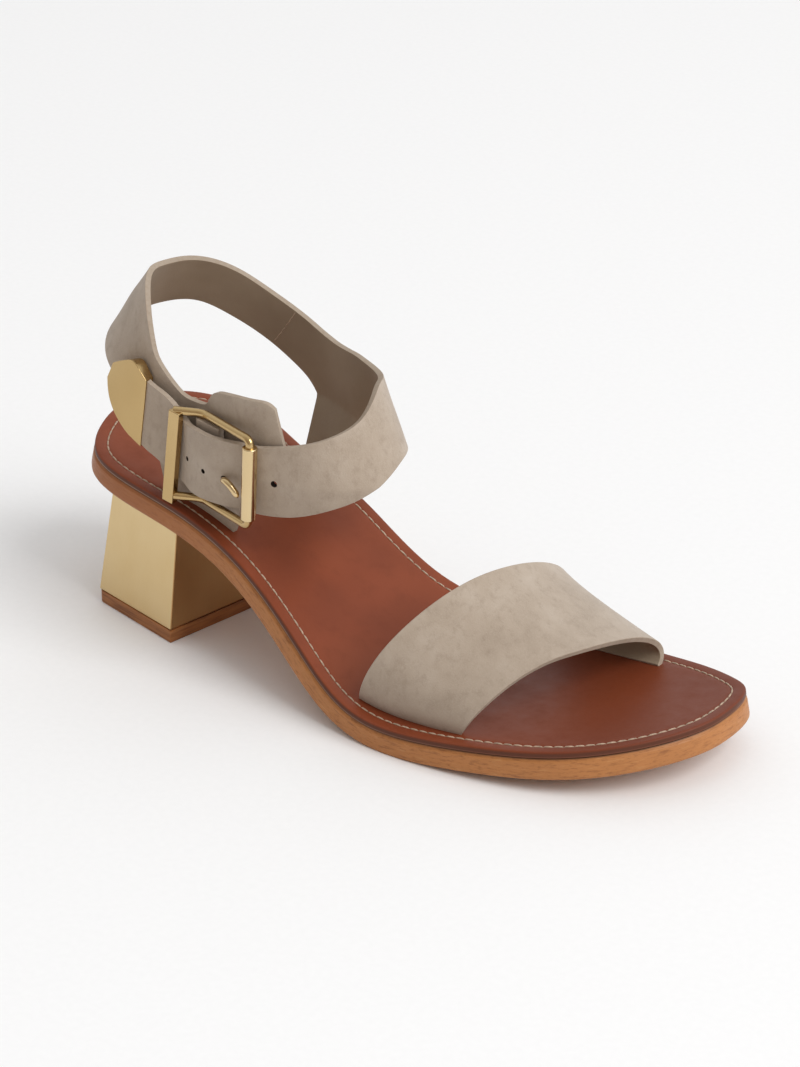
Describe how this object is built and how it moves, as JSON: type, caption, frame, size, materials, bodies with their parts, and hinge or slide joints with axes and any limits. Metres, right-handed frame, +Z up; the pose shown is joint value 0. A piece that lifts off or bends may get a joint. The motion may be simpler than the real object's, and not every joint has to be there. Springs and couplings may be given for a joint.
{
  "type": "heeled sandal",
  "caption": "Open-toe heeled sandal for the right foot: suede toe band, buckled suede ankle strap, stitched leather footbed, leather sole and metal-faced block heel.",
  "frame": {"origin": "middle of the sandal's box in plan, on the floor it stands on", "axes": "+X to the toe, +Y to the inner side of the foot, +Z up"},
  "size_m": [0.2492, 0.094, 0.119],
  "materials": {
    "insole_leather": "smooth, semi-matt",
    "sole_leather": "stacked leather edge, waxed",
    "suede": "suede nap",
    "gold_heel": "polished gold plate",
    "gold_fittings": "satin gold plate"
  },
  "bodies": {
    "root": {"insole": "insole_leather", "outsole": "sole_leather", "heel_block": "gold_heel", "heel_lift": "sole_leather", "toe_band": "suede", "ankle_upper": "suede", "strap_tip": "gold_fittings", "buckle_frame": "gold_fittings", "buckle_roller": "gold_fittings", "buckle_prong": "gold_fittings", "buckle_loop": "suede"}
  },
  "joints": []
}
